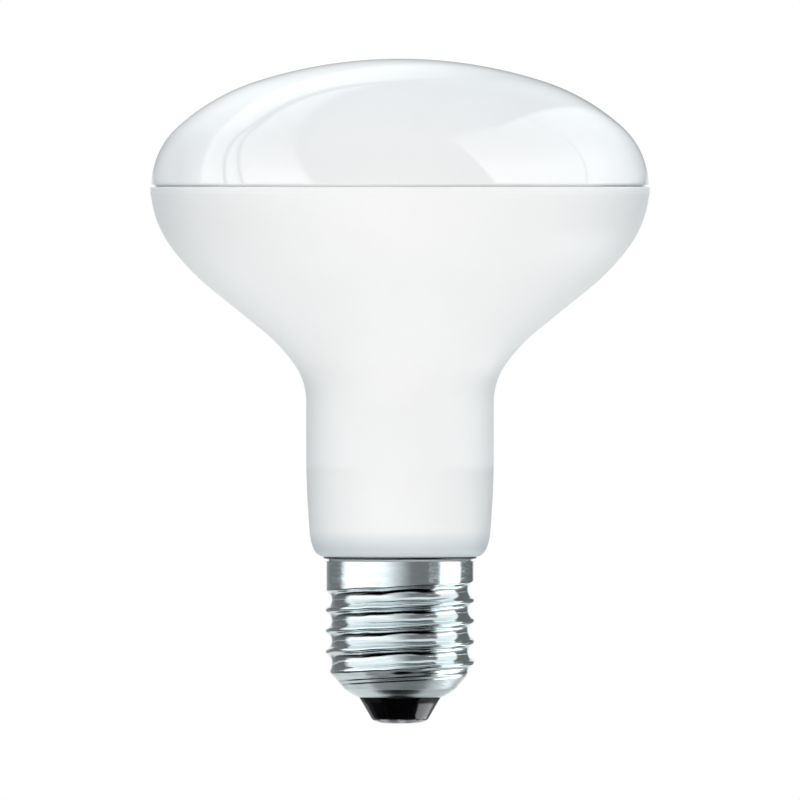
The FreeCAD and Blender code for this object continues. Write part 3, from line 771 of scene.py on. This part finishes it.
# Levels and measures of the room's parts
TENT_LEVEL = 3.1
TENT_INSIDE = 0.62
TENT_GLOW = 0.38
TENT_GLOW_END = 0.94
WINDOW_LEVEL = 3.3
LOW_WINDOW_LEVEL = 3.2
LOW_WINDOW_TILT = 0.4
FLOOR_LEFT = 0.80
FLOOR_RIGHT = 0.58
FAR_LEFT = 0.14
HALO_LEVEL = 0.40
BAND_DEPTH = 0.86
BAND_FOCUS = 1.02
DUSK_DEPTH = 0.3
CARD_LEVEL = 1.15
CARD_FRONT = 0.95
CARD_DARK = 0.05
AMBIENT_ABOVE = 0.85
AMBIENT_BELOW = -1.47
AMBIENT_GAIN = 1.7
AMBIENT_LEVEL = 0.523
FLOOR_TONE = (0.9, 0.9, 0.9, 1.0)
FLOOR_ROUGH = 0.8
FLOOR_GLOW = 0.3

# Levels of the back wall, as (y of the direction, level)
WALL_LEVELS = ((-1.0, 0.25), (-0.78, 0.15), (-0.48, 0.6), (0.0, 0.95), (0.3, 1.15), (0.84, 1.15),
               (0.91, 1.0), (0.95, 0.85), (0.98, 0.6), (1.0, 0.25))
# Levels round the room at the cap's height, from behind over the left to the right, by degrees
AZIMUTH_LEVELS = ((-180, 1.0), (-165, 0.9), (-160, 0.34), (-140, 0.20), (-108, 0.18), (-91, 1.55),
                  (-28, 1.5), (-8, 0.86), (8, 0.44), (18, 0.23), (63, 0.20), (69, 1.8),
                  (106, 1.8), (112, 0.17), (158, 0.16), (163, 0.9), (180, 1.0))

# Where one level gives way to another, as the two ends of a rise
HORIZON = (0.0, 0.06)
FLOOR_EDGE = (-0.48, -0.18)
FLOOR_MIDDLE = (-0.15, 0.15)
FLOOR_LEFT_EDGE = (-0.62, -0.56)
PATCH_EDGE = (0.7, 1.3)
BAND_INNER = (0.34, 0.46)
BAND_OUTER = (0.64, 0.76)
BAND_END = (0.55, 0.25)
LOW_WINDOW_TOP = (-0.72, -0.64)
DUSK_BACK = (0.72, 0.92)
DUSK_HEIGHT = (0.45, 0.1)
TENT_HEIGHT = (1.1, 0.2)
TENT_SIDE = (0.08, -0.28)
WINDOW_HEIGHT = (1.15, 0.35)
WINDOW_FADE = (1.0, 0.52)
OVERHEAD = (0.4, 1.0)
CARD_MIDDLE = (4 * MM, -8 * MM)
CARD_RING = (42 * MM, 60 * MM)
CARD_HOLE = (22 * MM, 30 * MM)

# The soft light's place, size and target, in metres
SOFT_PLACE = (0.0, -1.8, -0.18)
SOFT_SIZE = (1.8, 0.3)
SOFT_TARGET = (0.0, 0.0, 0.06)

# Dark places on the floor, as a centre and two radii
HALO = ((0.0, -0.15), (0.66, 0.36))
UNDER_LAMP = ((-0.02, 0.36), (0.30, 0.22))
BEFORE_LAMP = ((0.0, -0.52), (1.25, 0.28))


class Room(Nodes):
    """The light that a glossy surface sees in each direction of the room."""

    def __init__(self, tree, place="Generated"):
        super().__init__(tree)
        self.direction = self.add("TexCoord").outputs[place]
        self.x, self.y, self.z = self.split(self.direction)

    def maths(self, operation, *values):
        node = self.add("Math", dict(enumerate(values)), operation=operation)
        return node.outputs["Value"]

    def plus(self, first, second):
        return self.maths("ADD", first, second)

    def minus(self, first, second):
        return self.maths("SUBTRACT", first, second)

    def times(self, *factors):
        product = factors[0]
        for factor in factors[1:]:
            product = self.maths("MULTIPLY", product, factor)
        return product

    def rest(self, part):
        """What a part leaves of 1."""
        return self.minus(1.0, part)

    def blend(self, part, first, second):
        """The first level where part is 0 and the second where it is 1."""
        return self.plus(self.times(self.rest(part), first), self.times(part, second))

    def rise(self, value, low, high, kind="SMOOTHSTEP"):
        """0 below low, 1 above high, and a rise between them."""
        node = self.add("MapRange", {"Value": value, "From Min": low, "From Max": high},
                        interpolation_type=kind)
        return node.outputs["Result"]

    def along(self, normal):
        """How far the direction reaches along a normal."""
        dot = self.add("VectorMath", {0: self.direction, 1: normal}, operation="DOT_PRODUCT")
        return dot.outputs["Value"]

    def beyond(self, normal, at, soft):
        """The side of the room that lies beyond a plane."""
        return self.rise(self.along(normal), at - soft, at + soft)

    def seam(self, normal, at, half, depth):
        """1, but lower by depth on a thin band along a plane."""
        reach = self.along(normal)
        band = self.minus(self.rise(reach, at - half, at), self.rise(reach, at, at + half))
        return self.rest(self.times(band, depth))

    def ramp(self, value, stops):
        """Level by position, from (position, level) stops."""
        node = self.add("ValToRGB", {"Fac": value})
        elements = node.color_ramp.elements
        elements[0].position, elements[1].position = stops[0][0], stops[-1][0]
        for position, _ in stops[1:-1]:
            elements.new(position)
        for element, (_, level) in zip(elements, stops):
            element.color = (level / LEVEL_TOP,) * 3 + (1.0,)
        return self.times(node.outputs["Color"], LEVEL_TOP)

    def mix(self, part, first, second):
        """The first shader where part is 0 and the second where it is 1."""
        return self.add("MixShader", {0: part, 1: first, 2: second}).outputs["Shader"]

    def background(self, tint, strength):
        light = self.add("Background", {"Color": tint, "Strength": strength})
        return light.outputs["Background"]


def low_room(room):
    """The room at and below the cap's height."""
    azimuth = room.maths("ARCTAN2", room.x, room.times(room.y, -1.0))
    part = room.plus(room.maths("DIVIDE", azimuth, 2 * pi), 0.5)
    return room.ramp(part, [((degrees + 180) / 360, level) for degrees, level in AZIMUTH_LEVELS])


def high_room(room):
    """The room above the cap's height: back wall, left light tent and the window on the right."""
    depth = room.plus(room.times(room.y, 0.5), 0.5)
    wall = room.ramp(depth, [((y + 1) / 2, level) for y, level in WALL_LEVELS])
    dusk = room.times(room.rise(room.y, *DUSK_BACK), room.rise(room.z, *DUSK_HEIGHT), DUSK_DEPTH)
    wall = room.times(wall, room.rest(dusk))
    normal, edge = TENT_BACK
    inside = room.rest(room.beyond(normal, edge, soft=0.02))
    glow = room.rest(room.rise(room.along(normal), edge, TENT_GLOW_END))
    tent = room.times(room.plus(room.times(inside, TENT_INSIDE), room.times(glow, TENT_GLOW)),
                      room.beyond(*TENT_FRONT, soft=0.03),
                      room.rise(room.z, *TENT_HEIGHT, kind="LINEAR"),
                      room.rise(room.x, *TENT_SIDE, kind="LINEAR"),
                      *(room.seam(*plane, half=0.03, depth=1.0) for plane in TENT_SEAMS))
    window = room.times(room.beyond(*WINDOW_LEFT, soft=0.015),
                        room.beyond(*WINDOW_TOP, soft=0.015),
                        room.rise(room.along(WINDOW_ACROSS), *WINDOW_FADE, kind="LINEAR"),
                        room.seam(*WINDOW_BAR, half=0.025, depth=0.5),
                        room.rise(room.z, *WINDOW_HEIGHT, kind="LINEAR"))
    lit = room.plus(room.times(tent, TENT_LEVEL), room.times(window, WINDOW_LEVEL))
    return room.plus(lit, wall)


def outside_patch(room, centre, radii):
    """0 inside a round patch of the floor and 1 outside it."""
    squares = []
    for place, middle, radius in zip((room.x, room.y), centre, radii):
        apart = room.maths("DIVIDE", room.minus(place, middle), radius)
        squares.append(room.times(apart, apart))
    return room.rise(room.plus(*squares), *PATCH_EDGE)


def low_floor(room):
    """Pale floor, brighter on the left, with dark places below and in front of the lamp."""
    pale = room.blend(room.rise(room.x, *FLOOR_MIDDLE), FLOOR_LEFT, FLOOR_RIGHT)
    far_left = room.maths("MAXIMUM", room.rise(room.x, *FLOOR_LEFT_EDGE), FAR_LEFT)
    halo = room.maths("MAXIMUM", outside_patch(room, *HALO), HALO_LEVEL)
    return room.times(pale, far_left, halo, outside_patch(room, *UNDER_LAMP),
                      outside_patch(room, *BEFORE_LAMP))


def outside_band(room):
    """0 inside the dark band that curves round the lamp on the floor and 1 outside it."""
    steep = room.maths("DIVIDE", room.times(room.z, room.z), room.minus(BAND_FOCUS, room.y))
    band = room.minus(room.rise(steep, *BAND_INNER), room.rise(steep, *BAND_OUTER))
    return room.rest(room.times(band, room.rise(room.y, *BAND_END), BAND_DEPTH))


def lower_half(room):
    """The room below the horizon: walls, floor, dark band and the low window on the right."""
    below = room.rest(room.rise(room.z, *FLOOR_EDGE))
    level = room.times(room.blend(below, low_room(room), low_floor(room)), outside_band(room))
    sunk = room.minus(room.z, room.times(room.y, LOW_WINDOW_TILT))
    strip = room.times(room.beyond(*LOW_WINDOW, soft=0.03),
                       room.rest(room.rise(sunk, *LOW_WINDOW_TOP)))
    return room.blend(strip, level, LOW_WINDOW_LEVEL)


def ambient_light(room):
    """Plain light from all round, bluish from the sides, stronger from above and below."""
    setup = studio()
    tint = room.add("Mix", {"Factor": room.rise(room.z, *OVERHEAD), "A": (*setup.ambient, 1.0),
                            "B": (*setup.ambient_top, 1.0)}, data_type="RGBA")
    reach = room.maths("MAXIMUM", room.times(room.z, AMBIENT_ABOVE),
                       room.times(room.z, AMBIENT_BELOW))
    strength = room.plus(room.times(reach, reach, AMBIENT_GAIN), AMBIENT_LEVEL)
    return room.background(tint.outputs["Result"], strength)


def build_world():
    """White for the camera, the room for gloss and a plain ambient light for all else."""
    world = bpy.data.worlds.new("Studio")
    bpy.context.scene.world = world
    world.use_nodes = True
    world.node_tree.nodes.clear()
    room = Room(world.node_tree)
    level = room.blend(room.rise(room.z, *HORIZON), lower_half(room), high_room(room))
    path = room.add("LightPath")
    light = room.mix(path.outputs["Is Glossy Ray"], ambient_light(room),
                     room.background(ROOM_TINT, level))
    seen = room.mix(path.outputs["Is Camera Ray"], light, room.background((*WHITE, 1.0), 1.0))
    room.add("OutputWorld", {"Surface": seen})


def raised(name, height, material):
    """The sheet just added, with its height in its mesh."""
    sheet = bpy.context.object
    sheet.name = name
    bpy.ops.object.mode_set(mode="EDIT")
    bpy.ops.mesh.select_all(action="SELECT")
    bpy.ops.transform.translate(value=(0.0, 0.0, height))
    bpy.ops.object.mode_set(mode="OBJECT")
    sheet.data.materials.append(material)
    return sheet


def floor_material():
    """Pale floor that the camera sees as white, with the object's shadow on it."""
    material = new_material("Pale floor")
    nodes = Nodes(material.node_tree)
    seen = nodes.add("LightPath").outputs["Is Camera Ray"]
    glow = nodes.add("Math", {0: seen, 1: FLOOR_GLOW}, operation="MULTIPLY")
    shader = nodes.tree.nodes["Principled BSDF"]
    for socket, value in (("Base Color", FLOOR_TONE), ("Roughness", FLOOR_ROUGH),
                          ("Emission Color", (*WHITE, 1.0)),
                          ("Emission Strength", glow.outputs["Value"])):
        nodes.feed(shader.inputs[socket], value)
    return material


def build_floor():
    setup = studio()
    bpy.ops.object.select_all(action="DESELECT")
    bpy.ops.mesh.primitive_plane_add(size=setup.floor_size)
    floor = raised("Floor", -setup.floor_drop, floor_material())
    floor.visible_glossy = False


def card_material():
    """Glow of the card above the cap: dark over the cap, a bright ring, then the room's levels."""
    material = new_material("Card above the cap")
    material.node_tree.nodes.clear()
    room = Room(material.node_tree, "Object")
    across = room.maths("SQRT", room.plus(room.times(room.x, room.x),
                                          room.times(room.y, room.y)))
    around = room.maths("MINIMUM", low_room(room), CARD_LEVEL)
    ring = room.blend(room.rise(room.y, *CARD_MIDDLE), around, CARD_FRONT)
    level = room.blend(room.rise(across, *CARD_RING), ring, around)
    over_cap = room.maths("MAXIMUM", room.rise(across, *CARD_HOLE), CARD_DARK)
    glow = room.add("Emission", {"Color": ROOM_TINT, "Strength": room.times(level, over_cap)})
    side = room.add("NewGeometry").outputs["Backfacing"]
    clear = room.add("BsdfTransparent").outputs["BSDF"]
    room.add("OutputMaterial", {"Surface": room.mix(side, clear, glow.outputs["Emission"])})
    return material


def build_card():
    """Card above the cap, seen from below and only in the cap's gloss."""
    setup = studio()
    bpy.ops.object.select_all(action="DESELECT")
    bpy.ops.mesh.primitive_circle_add(vertices=48, radius=setup.card_radius, fill_type="NGON")
    card = raised("Card", setup.card_height, card_material())
    for rays in ("camera", "diffuse", "transmission", "shadow"):
        setattr(card, "visible_" + rays, False)


def aim(item, target):
    """Turns a lamp or the camera to a place, and gives the distance between them."""
    sight = Vector(target) - item.location
    item.rotation_euler = sight.to_track_quat("-Z", "Y").to_euler()
    return sight.length


def build_lamps():
    """One wide soft light in front of the lamp."""
    setup = studio()
    bpy.ops.object.light_add(type="AREA", location=SOFT_PLACE)
    soft = bpy.context.object
    soft.name = "Front soft light"
    soft.data.shape = "RECTANGLE"
    soft.data.size, soft.data.size_y = SOFT_SIZE
    soft.data.energy = setup.soft_level
    soft.data.color = setup.soft_tint
    aim(soft, SOFT_TARGET)
    soft.visible_camera = False
    soft.visible_glossy = False


def build_camera():
    setup = studio()
    bpy.ops.object.camera_add(location=(0.0, -setup.camera_distance, setup.camera_height))
    camera = bpy.context.object
    camera.name = "Camera"
    distance = aim(camera, (0.0, 0.0, setup.aim_height))
    camera.data.sensor_width = setup.sensor
    camera.data.lens = setup.sensor * distance / setup.view_width
    camera.data.clip_start = 0.01
    camera.data.clip_end = 50.0
    bpy.context.scene.camera = camera


# Operators and panel

class LAMP_OT_dome(bpy.types.Operator):
    """Models the polished dome"""

    bl_idname = "lamp.dome"
    bl_label = "Dome"

    def execute(self, context):
        dome = turned("opal_dome", dome_section())
        hand_over(dome, "diffuser_dome", dome_material())
        return {"FINISHED"}


class LAMP_OT_body(bpy.types.Operator):
    """Models the moulded body with its lip, flank and neck"""

    bl_idname = "lamp.body"
    bl_label = "Body"

    def execute(self, context):
        body = turned("moulded_body", body_section())
        hand_over(body, "reflector_body", body_material())
        return {"FINISHED"}


class LAMP_OT_shell(bpy.types.Operator):
    """Models the rolled screw shell with its thread, skirt and flange"""

    bl_idname = "lamp.shell"
    bl_label = "Screw shell"

    def execute(self, context):
        shell = turned("rolled_shell", shell_section(), closed_ring=True)
        roll_thread(shell)
        hand_over(shell, "screw_shell", shell_material(), sharp=50.0)
        return {"FINISHED"}


class LAMP_OT_insulator(bpy.types.Operator):
    """Models the black insulator"""

    bl_idname = "lamp.insulator"
    bl_label = "Insulator"

    def execute(self, context):
        insulator = turned("black_insulator", insulator_section())
        hand_over(insulator, "cap_insulator", insulator_material())
        return {"FINISHED"}


class LAMP_OT_contact(bpy.types.Operator):
    """Models the centre contact"""

    bl_idname = "lamp.contact"
    bl_label = "Centre contact"

    def execute(self, context):
        contact = turned("contact_plate", contact_section())
        hand_over(contact, "centre_contact", contact_material())
        return {"FINISHED"}


class LAMP_OT_stage(bpy.types.Operator):
    """Sets up the floor, the light, the room and the camera"""

    bl_idname = "lamp.stage"
    bl_label = "Stage"

    def execute(self, context):
        build_world()
        build_floor()
        build_card()
        build_lamps()
        build_camera()
        context.scene.view_settings.view_transform = "Standard"
        return {"FINISHED"}


OPERATORS = (LAMP_OT_dome, LAMP_OT_body, LAMP_OT_shell, LAMP_OT_insulator, LAMP_OT_contact,
             LAMP_OT_stage)


class LAMP_PT_panel(bpy.types.Panel):
    """Lists the lamp's pieces, sizes and finishes"""

    bl_label = "Reflector bulb"
    bl_idname = "LAMP_PT_panel"
    bl_space_type = "VIEW_3D"
    bl_region_type = "UI"
    bl_category = "Reflector bulb"

    def draw(self, context):
        layout = self.layout
        for operator in OPERATORS:
            layout.operator(operator.bl_idname)
        for group in (sizes(), finishes(), studio()):
            box = layout.box()
            for name in group.bl_rna.properties.keys():
                if name not in ("rna_type", "name"):
                    box.prop(group, name)


GROUPS = {"lamp_sizes": LampSizes, "lamp_finishes": LampFinishes, "lamp_studio": StudioSetup}
CLASSES = (*GROUPS.values(), *OPERATORS, LAMP_PT_panel)


def register():
    for item in CLASSES:
        bpy.utils.register_class(item)
    for name, group in GROUPS.items():
        setattr(bpy.types.Scene, name, PointerProperty(type=group))


def unregister():
    for name in GROUPS:
        delattr(bpy.types.Scene, name)
    for item in reversed(CLASSES):
        bpy.utils.unregister_class(item)


def main():
    register()
    bpy.ops.lamp.dome()
    bpy.ops.lamp.body()
    bpy.ops.lamp.shell()
    bpy.ops.lamp.insulator()
    bpy.ops.lamp.contact()
    bpy.ops.lamp.stage()


if __name__ == "__main__":
    main()
